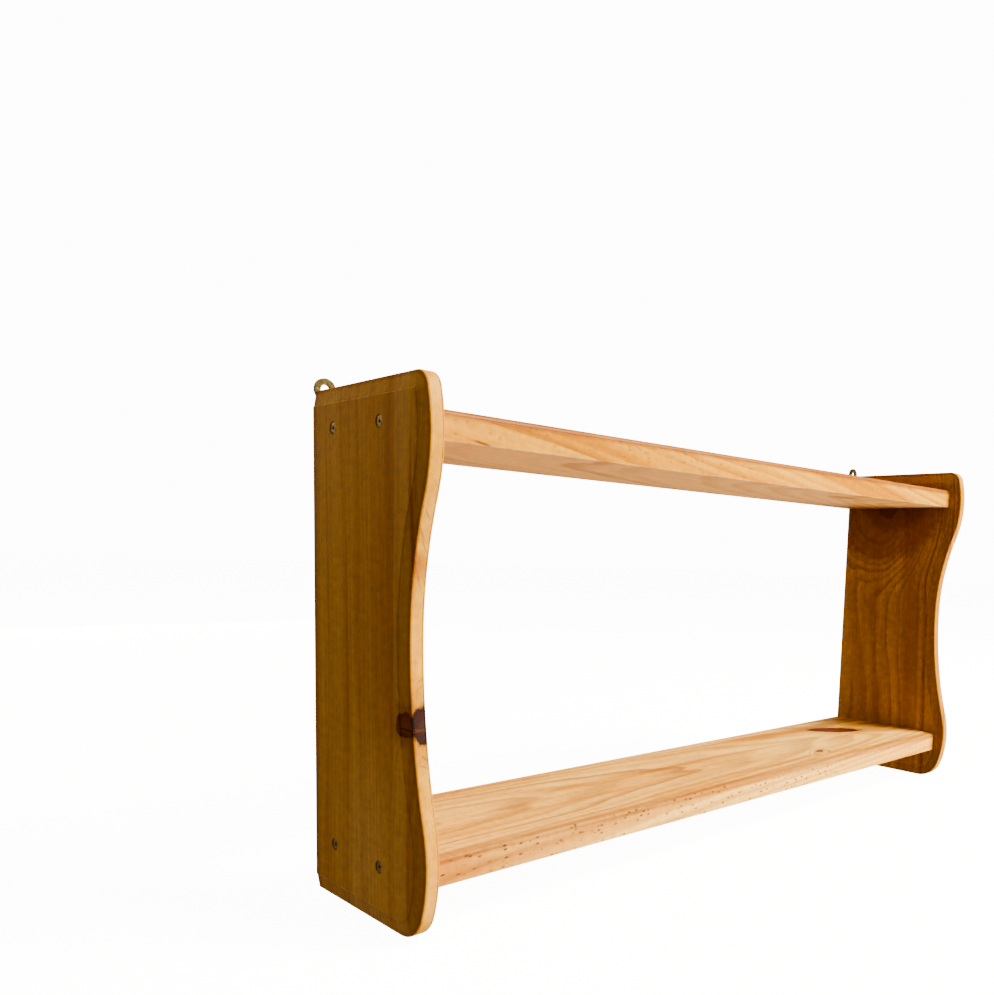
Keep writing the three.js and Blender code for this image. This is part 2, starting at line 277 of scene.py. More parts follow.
def add(tree, kind, inputs=None, **settings):
    """Add a node with its settings. Each input is a value, or the output that feeds it."""
    made = tree.nodes.new("ShaderNode" + kind)
    for key, value in settings.items():
        setattr(made, key, value)
    for socket, value in (inputs or {}).items():
        if isinstance(value, bpy.types.NodeSocket):
            tree.links.new(value, made.inputs[socket])
        else:
            made.inputs[socket].default_value = value
    return made


# Varnished pine, planed and sanded. Growth rings some 5 mm wide are cut lengthways into lines and
# arches of brown latewood on straw earlywood, with fine fibres, resin specks and dark knots, all
# under an amber satin varnish that keeps a soft shine. Lengths are in millimetres.
PINE_STRAW = "#dfae57"
PINE_AMBER = "#cf953d"
PINE_LATEWOOD = "#9c6229"
PINE_RED_STREAK = "#ab6a30"
RESIN = "#70451f"
# Moulding colours: a dark pooled varnish that also serves as painted shade, and a pale painted highlight
POOLED_VARNISH_AND_SHADE = "#92531f"
PAINTED_HIGHLIGHT = "#f0c478"
KNOT_RINGS = 9


def pine_spot(tree, millimetres, spot, ragged):
    """How far out each point lies from the middle of an oval spot, 1 at its rim."""
    seat = add(
        tree, "Mapping",
        {"Vector": millimetres, "Location": spot["at"], "Rotation": spot["turn"], "Scale": spot["size"]},
        vector_type="TEXTURE",
    ).outputs[0]
    rough = add(tree, "TexNoise", {"Vector": millimetres, "Scale": 0.16, "Detail": 3}).outputs["Color"]
    rough = add(tree, "VectorMath", {0: rough, 1: (0.5, 0.5, 0.5)}, operation="SUBTRACT").outputs[0]
    seat = add(
        tree, "VectorMath", {0: rough, 1: (ragged, ragged, ragged), 2: seat}, operation="MULTIPLY_ADD"
    ).outputs[0]
    return add(tree, "VectorMath", {0: seat}, operation="LENGTH").outputs["Value"]


def varnished_pine(name, grain, pith, ring, lines, red, specks, pools_and_painted_light, tone, knots, stains_and_painted_light, seed):
    """Pine sawn from a log, turned by grain, whose pith lies off the board and whose rings are ring wide.

    Lines, red and the strength after the specks are those of the latewood, the red streaks and the moulding
    marks: pooled varnish with painted shade, and painted highlights.
    """
    material = bpy.data.materials.new(name)
    material.use_nodes = True
    tree = material.node_tree
    varnish = tree.nodes["Principled BSDF"]
    place = add(tree, "TexCoord").outputs["Object"]
    millimetres = add(tree, "VectorMath", {0: place, "Scale": 1000}, operation="SCALE").outputs[0]
    log = add(
        tree, "Mapping", {"Vector": millimetres, "Rotation": grain, "Location": (*pith, seed)}
    ).outputs[0]

    # The log's sway over 60 mm across and 350 mm along, and a finer ripple on it
    wide = add(tree, "VectorMath", {0: log, 1: (1 / 60, 1 / 60, 1 / 350)}, operation="MULTIPLY").outputs[0]
    sway = add(tree, "TexNoise", {"Vector": wide, "Scale": 1, "Detail": 2}).outputs["Color"]
    sway = add(tree, "VectorMath", {0: sway, 1: (0.5, 0.5, 0.5)}, operation="SUBTRACT").outputs[0]
    sway = add(tree, "VectorMath", {0: sway, 1: (22, 22, 0), 2: log}, operation="MULTIPLY_ADD").outputs[0]
    close = add(tree, "VectorMath", {0: log, 1: (1 / 9, 1 / 9, 1 / 70)}, operation="MULTIPLY").outputs[0]
    ripple = add(tree, "TexNoise", {"Vector": close, "Scale": 1, "Detail": 3}).outputs["Color"]
    ripple = add(tree, "VectorMath", {0: ripple, 1: (0.5, 0.5, 0.5)}, operation="SUBTRACT").outputs[0]
    bent = add(
        tree, "VectorMath", {0: ripple, 1: (2.4, 2.4, 0), 2: sway}, operation="MULTIPLY_ADD"
    ).outputs[0]
    across = add(tree, "VectorMath", {0: bent, 1: (1, 1, 0)}, operation="MULTIPLY").outputs[0]
    radius = add(tree, "VectorMath", {0: across}, operation="LENGTH").outputs["Value"]
    rings = add(tree, "Math", {0: radius, 1: ring}, operation="DIVIDE").outputs[0]

    # Knots push the rings aside
    for knot in knots:
        near = pine_spot(tree, millimetres, knot, 0.2)
        swell = add(
            tree, "MapRange", {0: near, 1: 0.5, 2: knot["reach"], 3: knot["bend"], 4: 0},
            interpolation_type="SMOOTHERSTEP",
        ).outputs[0]
        rings = add(tree, "Math", {0: rings, 1: swell}, operation="ADD").outputs[0]

    # Latewood darkens slowly through each year's ring and stops short
    year = add(tree, "Math", {0: rings}, operation="FRACT").outputs[0]
    rise = add(tree, "MapRange", {0: year, 1: 0.2, 2: 0.88}, interpolation_type="SMOOTHSTEP").outputs[0]
    stop = add(
        tree, "MapRange", {0: year, 1: 0.9, 2: 1, 3: 1, 4: 0}, interpolation_type="SMOOTHSTEP"
    ).outputs[0]
    late = add(tree, "Math", {0: rise, 1: stop}, operation="MULTIPLY").outputs[0]
    years = add(
        tree, "TexNoise", {"W": rings, "Scale": 0.55, "Detail": 2}, noise_dimensions="1D"
    ).outputs[0]
    years = add(tree, "MapRange", {0: years, 1: 0.3, 2: 0.7, 3: lines * 0.1, 4: lines}).outputs[0]
    late = add(tree, "Math", {0: late, 1: years}, operation="MULTIPLY").outputs[0]

    # Fibres 0.5 mm wide, drawn 0.9 mm wide so that they show
    fine = add(tree, "VectorMath", {0: log, 1: (1 / 0.9, 1 / 0.9, 1 / 45)}, operation="MULTIPLY").outputs[0]
    fibre = add(tree, "TexNoise", {"Vector": fine, "Scale": 1, "Detail": 3, "Roughness": 0.6}).outputs[0]
    # Resin specks 2 mm thick and 4 mm long, in most of the places where one might lie
    grainy = add(
        tree, "VectorMath", {0: log, 1: (1 / 3.2, 1 / 30, 1 / 6.5)}, operation="MULTIPLY"
    ).outputs[0]
    resin = add(tree, "TexVoronoi", {"Vector": grainy, "Scale": 1})
    speck = add(
        tree, "MapRange", {0: resin.outputs["Distance"], 1: 0.16, 2: 0.34, 3: specks["much"], 4: 0},
        interpolation_type="SMOOTHSTEP",
    ).outputs[0]
    chance = add(tree, "SeparateXYZ", {0: resin.outputs["Color"]}).outputs[0]
    chance = add(tree, "MapRange", {0: chance, 1: 0.1, 2: 0.6}).outputs[0]
    speck = add(tree, "Math", {0: speck, 1: chance}, operation="MULTIPLY").outputs[0]
    patch = pine_spot(tree, millimetres, specks, 0.25)
    patch = add(tree, "MapRange", {0: patch, 1: 0.7, 2: 1, 3: 1, 4: 0}).outputs[0]
    speck = add(tree, "Math", {0: speck, 1: patch}, operation="MULTIPLY").outputs[0]

    # Heartwood bands, some 16 mm wide and longer than the board
    long = add(tree, "VectorMath", {0: bent, 1: (1 / 16, 1 / 16, 1 / 700)}, operation="MULTIPLY").outputs[0]
    band = add(tree, "TexNoise", {"Vector": long, "Scale": 1, "Detail": 3}).outputs[0]
    amber = add(tree, "MapRange", {0: band, 1: 0.35, 2: 0.65}, interpolation_type="SMOOTHSTEP").outputs[0]
    redder = add(
        tree, "MapRange", {0: band, 1: 0.56, 2: 0.74, 3: 0, 4: red}, interpolation_type="SMOOTHSTEP"
    ).outputs[0]
    wood = add(tree, "Mix", {0: amber, 6: linear(tone[0]), 7: linear(tone[1])}, data_type="RGBA").outputs[2]
    wood = add(tree, "Mix", {0: redder, 6: wood, 7: linear(PINE_RED_STREAK)}, data_type="RGBA").outputs[2]

    # Bands and patches of this board's own, most where sap or heartwood changes its colour, some painted
    # light
    for stain_and_light in stains_and_painted_light:
        reach = pine_spot(tree, millimetres, stain_and_light, 0.25)
        amount = add(
            tree, "MapRange", {0: reach, 1: 1 - stain_and_light["soft"], 2: 1, 3: stain_and_light["much"], 4: 0},
            interpolation_type="SMOOTHSTEP",
        ).outputs[0]
        wood = add(
            tree, "Mix", {0: amount, 6: wood, 7: linear(stain_and_light["colour"])}, data_type="RGBA"
        ).outputs[2]
    wood = add(tree, "Mix", {0: late, 6: wood, 7: linear(PINE_LATEWOOD)}, data_type="RGBA").outputs[2]
    # Moulding marks: above 0, pooled varnish and painted shade darken the wood; below 0, a painted highlight
    # pales it
    pool_and_light = add(tree, "Attribute", attribute_name="pooled_varnish_and_painted_light").outputs["Fac"]
    pool_and_light = add(tree, "Math", {0: pool_and_light, 1: pools_and_painted_light}, operation="MULTIPLY").outputs[0]
    wood = add(tree, "Mix", {0: pool_and_light, 6: wood, 7: linear(POOLED_VARNISH_AND_SHADE)}, data_type="RGBA").outputs[2]
    highlight_amount = add(tree, "Math", {0: pool_and_light, 1: -1}, operation="MULTIPLY", use_clamp=True).outputs[0]
    wood = add(tree, "Mix", {0: highlight_amount, 6: wood, 7: linear(PAINTED_HIGHLIGHT)}, data_type="RGBA").outputs[2]
    wood = add(tree, "Mix", {0: speck, 6: wood, 7: linear(RESIN)}, data_type="RGBA").outputs[2]
    # A mottled figure of patches some 5 mm wide lies over the fibres
    figure = add(tree, "TexNoise", {"Vector": millimetres, "Scale": 1 / 5, "Detail": 2}).outputs[0]
    figure = add(tree, "MapRange", {0: figure, 1: 0.3, 2: 0.7, 3: -0.2, 4: 0.2}).outputs[0]
    shade = add(tree, "Math", {0: fibre, 1: figure}, operation="ADD").outputs[0]
    shade = add(tree, "MapRange", {0: shade, 1: 0.2, 2: 0.8, 3: 0.84, 4: 1.1}).outputs[0]
    wood = add(tree, "VectorMath", {0: wood, "Scale": shade}, operation="SCALE").outputs[0]
    for knot in knots:
        near = pine_spot(tree, millimetres, knot, 0.6)
        halo = add(
            tree, "MapRange", {0: near, 1: 0.9, 2: 2, 3: 0.4 * knot["much"], 4: 0},
            interpolation_type="SMOOTHSTEP",
        ).outputs[0]
        wood = add(tree, "Mix", {0: halo, 6: wood, 7: linear(PINE_LATEWOOD)}, data_type="RGBA").outputs[2]
        heart = add(
            tree, "MapRange", {0: near, 1: 0.8, 2: 1, 3: knot["much"], 4: 0},
            interpolation_type="SMOOTHSTEP",
        ).outputs[0]
        bark = add(tree, "MapRange", {0: near, 1: 0.3, 2: 0.9}, interpolation_type="SMOOTHSTEP").outputs[0]
        growth = add(tree, "Math", {0: near, 1: KNOT_RINGS}, operation="MULTIPLY").outputs[0]
        growth = add(tree, "Math", {0: growth, 1: 1}, operation="PINGPONG").outputs[0]
        bark = add(
            tree, "Math", {0: growth, 1: 0.35, 2: bark}, operation="MULTIPLY_ADD", use_clamp=True
        ).outputs[0]
        core = add(
            tree, "Mix", {0: bark, 6: linear(knot["heart"]), 7: linear(knot["bark"])}, data_type="RGBA"
        ).outputs[2]
        wood = add(tree, "Mix", {0: heart, 6: wood, 7: core}, data_type="RGBA").outputs[2]
    tree.links.new(wood, varnish.inputs["Base Color"])
    dull = add(tree, "MapRange", {0: late, 3: 0.54, 4: 0.42}).outputs[0]
    tree.links.new(dull, varnish.inputs["Roughness"])
    varnish.inputs["IOR"].default_value = 1.5
    varnish.inputs["Specular IOR Level"].default_value = 0.22
    varnish.inputs["Coat Weight"].default_value = 0.05
    varnish.inputs["Coat Roughness"].default_value = 0.3
    relief = add(tree, "Math", {0: late, 1: 0.7, 2: fibre}, operation="MULTIPLY_ADD").outputs[0]
    relief = add(tree, "Bump", {"Height": relief, "Strength": 0.25, "Distance": 0.00025}).outputs[0]
    tree.links.new(relief, varnish.inputs["Normal"])
    return material


# Longer than any board, for bands that run from end to end
ENDLESS = 10000
NO_TURN = (0, 0, 0)
FEW_SPECKS = {"at": (0, 0, 0), "turn": NO_TURN, "size": (ENDLESS, ENDLESS, ENDLESS), "much": 0.08}
# Rings that the sawn front edge of the left side cuts across: place, height, slope and half length
LEFT_EDGE_LINES = (
    (-338, 284, 0.9, 5), (-340, 266, 1.0, 6), (-342, 255, 1.1, 8), (-339, 247, 1.1, 7),
    (-341, 228, 1.25, 12), (-338, 165, -0.6, 5), (-339, 160, -0.7, 6), (-338, 117, 0.7, 5),
    (-339, 112, 0.5, 4),
)
# The left side has soft straight lines, a paler sap band and a knot that runs out through its edge
left_pine = varnished_pine(
    "varnished_pine_left_side", grain=NO_TURN, pith=(330, 190), ring=5.4, lines=0.24, red=0.6,
    specks=FEW_SPECKS, pools_and_painted_light=0.4, tone=(PINE_STRAW, PINE_AMBER), seed=0,
    knots=[
        {"at": (-347, -48.5, 137.5), "turn": NO_TURN, "size": (5, 11, 9.5), "reach": 3, "bend": 1.2,
         "heart": "#9a5628", "bark": "#743418", "much": 0.95},
        {"at": (-333, -55, 140), "turn": NO_TURN, "size": (17, 3.6, 19), "reach": 3, "bend": 0.6,
         "heart": "#4d342c", "bark": "#3a2226", "much": 1},
        {"at": (-347, -50.5, 134.5), "turn": (0.06, 0, 0), "size": (7, 8, 0.8), "reach": 1.2, "bend": 0,
         "heart": "#2e160e", "bark": "#2e160e", "much": 0.7},
    ],
    stains_and_painted_light=[
        {"at": (-347, -43.5, 175), "turn": NO_TURN, "size": (20, 8.6, ENDLESS), "soft": 0.2,
         "colour": "#e2b56a", "much": 0.5},
        {"at": (-347, -54.5, 250), "turn": NO_TURN, "size": (20, 2.6, 90), "soft": 0.7,
         "colour": "#a05222", "much": 0.6},
        {"at": (-347, 70, 175), "turn": NO_TURN, "size": (20, 10, ENDLESS), "soft": 0.8,
         "colour": "#a05a26", "much": 0.55},
        # Painted light: the face paler towards its foot, standing for light that the floor throws up
        {"at": (-347, -4, 50), "turn": NO_TURN, "size": (20, 62, 120), "soft": 0.9,
         "colour": "#f0c67c", "much": 0.6},
    ] + [
        {"at": (across, -58, height), "turn": (0, slope, 0), "size": (length, 16, 0.9), "soft": 0.8,
         "colour": "#86603a", "much": 0.6}
        for across, height, slope, length in LEFT_EDGE_LINES
    ],
)
# The right side is redder, and its grain swings round a knot that the top shelf hides
right_pine = varnished_pine(
    "varnished_pine_right_side", grain=(0.04, 0.02, 0), pith=(-215, -60), ring=6.5, lines=0.8, red=0.4,
    specks=FEW_SPECKS, pools_and_painted_light=0.3, tone=("#d2a656", "#bd8e48"), seed=400,
    knots=[
        {"at": (336, 16, 312), "turn": NO_TURN, "size": (40, 13, 15), "reach": 8, "bend": -8,
         "heart": "#8a4c22", "bark": "#6b3517", "much": 0.6},
    ],
    stains_and_painted_light=[
        {"at": (332.5, 22, 313), "turn": NO_TURN, "size": (24, 82, 70), "soft": 0.2,
         "colour": "#8e4e1f", "much": 0.6},
        {"at": (332.5, 8, 316), "turn": NO_TURN, "size": (24, 46, 36), "soft": 0.25,
         "colour": "#733b18", "much": 0.5},
    ],
)

for side, way, pine in (("left", -1, left_pine), ("right", 1, right_pine)):
    board = finished(f"{side}_side_board", waisted_board(f"{side}_side"), pine)
    screws = [f"{side}_{row}_{column}_screw" for row in ("top", "bottom") for column in ("back", "front")]
    cut_away(board, [countersunk_hole(SHELF_SCREW, SHELF_SCREW_SINK, screw_place(s, way)) for s in screws])
    square_faces(board)
    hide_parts(f"{side}_side")
    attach(board, "root")


# Shelf boards
# Two straight 20 mm pine boards, butted between the sides and held by two screws at each end. A
# router has run a rounded nose behind a small step along the upper front edge, with a fine groove
# below it. The other long edges are just eased.

NOSE_WIDTH = 0.011
NOSE_STEP = 0.0004
NOSE_FALL = 0.0008
NOSE_DEPTH = 0.004
EASED_EDGE = 0.0004
# How far the pooled varnish and painted shade run on below the nose
SHADE_AND_VARNISH_RUN = 0.0024
NOSE_STEPS = 8


def shelf_board(name):
    """A shelf board: its end profile, with the nose spun and flattened, drawn out to its length."""
    low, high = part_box(name)
    front, back, top = low.y, high.y, high.z
    spring = top - NOSE_DEPTH
    bm = bmesh.new()
    varnish_and_light = bm.verts.layers.float.new("pooled_varnish_and_painted_light")
    nose_top = bm.verts.new((low.x, front + NOSE_DEPTH, top))
    nose = bmesh.ops.spin(
        bm, geom=[nose_top], cent=(low.x, front + NOSE_DEPTH, spring), axis=(1, 0, 0),
        angle=math.pi / 2, steps=NOSE_STEPS,
    )
    nose_end = verts_of(nose["geom_last"])[0]
    flatten = (NOSE_DEPTH - NOSE_FALL) / NOSE_DEPTH
    bmesh.ops.scale(bm, vec=(1, 1, flatten), verts=bm.verts, space=Matrix.Translation((0, 0, -spring)))
    # The nose is darkened: pooled varnish and painted shade
    for vert in bm.verts:
        vert[varnish_and_light] = 1
    rest = [
        (front + QUIRK_DEPTH, spring - QUIRK_WIDTH * 0.4), (front, spring - QUIRK_WIDTH),
        (front, spring - QUIRK_WIDTH - SHADE_AND_VARNISH_RUN), (front, low.z), (back, low.z), (back, top),
        (front + NOSE_WIDTH, top), (front + NOSE_WIDTH, top - NOSE_STEP),
    ]
    loop = [nose_end] + [bm.verts.new((low.x, y, z)) for y, z in rest] + [nose_top]
    # The groove under the nose and a strip below it are darkened too: painted shade with pooled varnish
    loop[1][varnish_and_light] = 1
    loop[2][varnish_and_light] = 0.8
    for pair in zip(loop, loop[1:]):
        bm.edges.new(pair)
    bmesh.ops.contextual_create(bm, geom=bm.edges[:])
    board = bmesh.ops.extrude_face_region(bm, geom=bm.faces[:])["geom"]
    bmesh.ops.translate(bm, verts=verts_of(board), vec=(high.x - low.x, 0, 0))
    along = [e for e in bm.edges if abs(e.verts[0].co.x - e.verts[1].co.x) > 0.1]
    corners = [e for e in along if e.verts[0].co.y > back - 1e-5 or e.verts[0].co.z < low.z + 1e-5]
    bmesh.ops.bevel(
        bm, geom=corners, offset=EASED_EDGE, offset_type="OFFSET", affect="EDGES", segments=3,
        profile=0.5, material=-1,
    )
    return bm


# The top shelf has slanting lines on its front, and painted light: a paler, greyer underside for the floor's
# bounce
top_pine = varnished_pine(
    "varnished_pine_top_shelf", grain=(0, -0.16 - math.pi / 2, 0.02), pith=(470, 60), ring=8, lines=0.6,
    red=0.4, pools_and_painted_light=0.75, tone=(PINE_STRAW, PINE_AMBER), seed=900,
    specks={"at": (-200, -59, 318), "turn": NO_TURN, "size": (260, 4, 12), "much": 0.35},
    knots=[
        {"at": (215, -58.5, 330.5), "turn": NO_TURN, "size": (11, 5, 2.4), "reach": 4, "bend": 1.2,
         "heart": "#6e4a48", "bark": "#573438", "much": 0.9},
    ],
    stains_and_painted_light=[
        # Painted light: the underside made paler and greyer, standing for light that the floor throws up
        {"at": (0, 0, 304), "turn": NO_TURN, "size": (ENDLESS, ENDLESS, 8), "soft": 0.2,
         "colour": "#ccaa80", "much": 0.8},
        {"at": (75, 66, 310), "turn": NO_TURN, "size": (32, 7, 3), "soft": 0.8,
         "colour": "#8a5226", "much": 0.8},
        {"at": (160, -30, 310), "turn": (0, 0, 0.05), "size": (48, 11, 3), "soft": 0.8,
         "colour": "#8a5a30", "much": 0.7},
        {"at": (-300, -59, 312), "turn": (0, 0.15, 0), "size": (9, 2, 1.3), "soft": 0.6,
         "colour": "#6e4a28", "much": 0.8},
    ],
)
# The bottom shelf has pointed arches and knots on its top, and specks of resin along its front
bottom_pine = varnished_pine(
    "varnished_pine_bottom_shelf", grain=(0, 0.06 - math.pi / 2, 0), pith=(130, -6), ring=5.5, lines=0.65,
    red=0.6, pools_and_painted_light=0.5, tone=("#ecc47a", "#ddaa5a"), seed=1500,
    specks={"at": (-140, -60, 42), "turn": NO_TURN, "size": (330, 5, 14), "much": 0.95},
    knots=[
        {"at": (248, 22, 53), "turn": (0, 0, -0.62), "size": (36, 13, 6), "reach": 2.6, "bend": 2,
         "heart": "#6e3519", "bark": "#552410", "much": 1},
        {"at": (138, -33, 53), "turn": (0, 0, 0.3), "size": (8, 3.4, 5), "reach": 4, "bend": 1.5,
         "heart": "#8a5a34", "bark": "#6e4122", "much": 0.9},
    ],
    stains_and_painted_light=[
        {"at": (-345, -59, 43), "turn": NO_TURN, "size": (110, 9, 20), "soft": 0.9,
         "colour": "#bd7a30", "much": 0.7},
    ],
)

for row, pine in (("top", top_pine), ("bottom", bottom_pine)):
    board = finished(f"{row}_shelf_board", shelf_board(f"{row}_shelf"), pine)
    ends = (("left", -1), ("right", 1))
    places = [screw_place(f"{s}_{row}_{c}_screw", w) for s, w in ends for c in ("back", "front")]
    cut_away(board, [countersunk_hole(SHELF_SCREW, SHELF_SCREW_SINK, place) for place in places])
    square_faces(board)
    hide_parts(f"{row}_shelf")
    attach(board, "root")


# Shelf screws
# Countersunk cross-head wood screws, 4 by 40 mm, driven through the sides into the shelf ends until
# the head lies just under the face. Pressed steel, zinc plated and passivated to a dull yellow.

THREAD_STEPS = 16
SHELF_SCREW_RECESS = {"span": 0.0044, "width": 0.001, "depth": 0.0017}
SHELF_SCREW_THREAD = {"core": 0.0014, "start": 0.016, "pitch": 0.0018, "turns": 11}


def wood_screw(screw, recess, thread):
    """A countersunk screw with its head at Z = 0: turned body, helical thread and a cross recess."""
    head, rim, shaft, length = screw["head"], screw["rim"], screw["shaft"], screw["length"]
    core, start = thread["core"], thread["start"]
    end = start + thread["pitch"] * thread["turns"]
    neck = rim + head - shaft
    edge = rim / 2
    bm = turned([
        (0, 0), (head - edge, 0), (head - edge * 0.3, -edge * 0.3), (head, -edge), (head, -rim),
        (shaft, -neck), (shaft, -start + 0.0004), (core, -start), (core, -end), (0, -length),
    ], TURNED_SIDES)
    root, rise = core * 0.9, thread["pitch"] * 0.3
    ridge = ((root, -end), (shaft, -end + rise), (root, -end + rise * 2))
    section = bm.faces.new([bm.verts.new((r, 0, z)) for r, z in ridge])
    bmesh.ops.spin(
        bm, geom=[section], cent=(0, 0, 0), axis=(0, 0, 1), angle=2 * math.pi * (thread["turns"] - 1),
        steps=THREAD_STEPS * (thread["turns"] - 1), dvec=(0, 0, thread["pitch"] / THREAD_STEPS),
    )
    return bm, [cross_slot(recess, turn) for turn in (0, math.pi / 2)]


def cross_slot(recess, turn):
    """One slot of a cross recess, narrower at its bottom."""
    bm = bmesh.new()
    bmesh.ops.create_cube(bm, size=1)
    bmesh.ops.scale(bm, vec=(recess["span"], recess["width"], recess["depth"] * 2), verts=bm.verts)
    bottom = [v for v in bm.verts if v.co.z < 0]
    bmesh.ops.scale(bm, vec=(0.45, 0.6, 1), verts=bottom)
    bmesh.ops.rotate(bm, verts=bm.verts, cent=(0, 0, 0), matrix=Matrix.Rotation(turn, 3, "Z"))
    return bm


# Yellow-passivated zinc on steel: a dull straw metal, clouded, with dark dirt worn into it
plated_steel = bpy.data.materials.new("passivated_zinc_plated_steel")
plated_steel.use_nodes = True
tree = plated_steel.node_tree
place = add(tree, "TexCoord").outputs["Object"]
cloud = add(tree, "TexNoise", {"Vector": place, "Scale": 1 / 0.0015, "Detail": 4}).outputs[0]
patch = add(tree, "MapRange", {0: cloud, 1: 0.35, 2: 0.7}).outputs[0]
colour = add(
    tree, "Mix", {0: patch, 6: linear("#988560"), 7: linear("#64553b")}, data_type="RGBA"
).outputs[2]
dull = add(tree, "MapRange", {0: cloud, 3: 0.28, 4: 0.5}).outputs[0]
metal = tree.nodes["Principled BSDF"]
metal.inputs["Metallic"].default_value = 1
tree.links.new(colour, metal.inputs["Base Color"])
tree.links.new(dull, metal.inputs["Roughness"])


def put_screw(name, body, recess, place, material, node):
    """Cut the recess into a screw's head, drive the screw home, hide its node's part and hang the screw from
    the root.
    """
    piece = finished(name, body, material)
    cut_away(piece, recess)
    piece.data.transform(place)
    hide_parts(node)
    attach(piece, "root")


for side, way in (("left", -1), ("right", 1)):
    for row in ("top", "bottom"):
        for column, twist in (("back", 0.5), ("front", 0.2)):
            node = f"{side}_{row}_{column}_screw"
            body, slots = wood_screw(SHELF_SCREW, SHELF_SCREW_RECESS, SHELF_SCREW_THREAD)
            sunk = screw_place(node, way) @ Matrix.Translation((0, 0, -SHELF_SCREW_SINK))
            place = sunk @ Matrix.Rotation(twist, 4, "Z")
            put_screw(f"{node}_turned", body, slots, place, plated_steel, node)


# Hanging eyes
# A stamped brass plate on the back edge of each side, with a round eye that stands above the board
# for a wall hook. Two millimetres thick, its edges rolled over by the stamping, dulled with age.

EYE_RADIUS = 0.0077
EYE_HOLE_RADIUS = 0.0035
PLATE_SHOULDER = 0.0022
PLATE_ROLL = 0.0005
PLATE_SCREW = {"head": 0.0028, "rim": 0.0002, "shaft": 0.0015, "length": 0.016}
PLATE_SCREW_SINK = 0.0001
EYE_STEPS = 40
TAIL_STEPS = 20
PUNCH_REACH = 0.01


def plate_screw_place(node):
    """The place of a plate screw on the back of its plate: -Z along the screw."""
    low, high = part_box(node)
    middle = Matrix.Translation(((low.x + high.x) / 2, cad_high.y, (low.z + high.z) / 2))
    return middle @ Matrix.Rotation(-math.pi / 2, 4, "X")


def eye_plate(node):
    """A plate with its round eye and tail, and the punch that opens the eye."""
    low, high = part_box(node)
    middle = (low.x + high.x) / 2
    half = EYE_RADIUS - PLATE_SHOULDER
    eye_height = high.z - EYE_RADIUS
    tail_height = low.z + half
    shoulder = math.acos(half / EYE_RADIUS)
    bm = bmesh.new()
    first = bm.verts.new((middle + half, low.y, eye_height - EYE_RADIUS * math.sin(shoulder)))
    eye = bmesh.ops.spin(
        bm, geom=[first], cent=(middle, low.y, eye_height), axis=(0, -1, 0),
        angle=math.pi + 2 * shoulder, steps=EYE_STEPS,
    )
    last = verts_of(eye["geom_last"])[0]
    start = bm.verts.new((middle - half, low.y, tail_height))
    bm.edges.new((last, start))
    tail = bmesh.ops.spin(
        bm, geom=[start], cent=(middle, low.y, tail_height), axis=(0, -1, 0), angle=math.pi,
        steps=TAIL_STEPS,
    )
    end = verts_of(tail["geom_last"])[0]
    bm.edges.new((end, first))
    bmesh.ops.contextual_create(bm, geom=bm.edges[:])
    plate = bmesh.ops.extrude_face_region(bm, geom=bm.faces[:])["geom"]
    bmesh.ops.translate(bm, verts=verts_of(plate), vec=(0, high.y - low.y, 0))
    hole = turned([
        (0, -PUNCH_REACH), (EYE_HOLE_RADIUS, -PUNCH_REACH), (EYE_HOLE_RADIUS, PUNCH_REACH), (0, PUNCH_REACH),
    ], EYE_STEPS)
    hole.transform(Matrix.Translation((middle, low.y, eye_height)) @ Matrix.Rotation(math.pi / 2, 4, "X"))
    return bm, hole


# Aged brass: an olive-brown metal, darker in blotches, with a low shine where hands have rubbed it
aged_brass = bpy.data.materials.new("aged_brass")
aged_brass.use_nodes = True
tree = aged_brass.node_tree
place = add(tree, "TexCoord").outputs["Object"]
blotch = add(
    tree, "TexNoise", {"Vector": place, "Scale": 1 / 0.004, "Detail": 5, "Roughness": 0.6}
).outputs[0]
tarnish = add(tree, "MapRange", {0: blotch, 1: 0.4, 2: 0.66}, interpolation_type="SMOOTHSTEP").outputs[0]
colour = add(
    tree, "Mix", {0: tarnish, 6: linear("#716749"), 7: linear("#4b4330")}, data_type="RGBA"
).outputs[2]
dull = add(tree, "MapRange", {0: blotch, 3: 0.38, 4: 0.6}).outputs[0]
metal = tree.nodes["Principled BSDF"]
metal.inputs["Metallic"].default_value = 1
tree.links.new(colour, metal.inputs["Base Color"])
tree.links.new(dull, metal.inputs["Roughness"])

for side in ("left", "right"):
    node = f"{side}_hanging_eye"
    plate, hole = eye_plate(node)
    piece = finished(f"{node}_plate", plate, aged_brass)
    places = [plate_screw_place(f"{side}_eye_{row}_screw") for row in ("upper", "lower")]
    cut_away(piece, [hole] + [countersunk_hole(PLATE_SCREW, PLATE_SCREW_SINK, place) for place in places])
    roll = piece.modifiers.new("rolled edges", "BEVEL")
    roll.width = PLATE_ROLL
    roll.segments = 3
    roll.limit_method = "ANGLE"
    roll.angle_limit = math.radians(60)
    square_faces(piece)
    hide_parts(node)
    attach(piece, "root")


# Plate screws
# Small countersunk brass screws, 3 by 16 mm, turned and threaded as the shelf screws are. Two hold
# each eye plate flat to the back edge of its side.

PLATE_SCREW_RECESS = {"span": 0.0032, "width": 0.0008, "depth": 0.0011}
PLATE_SCREW_THREAD = {"core": 0.00105, "start": 0.005, "pitch": 0.0012, "turns": 7}

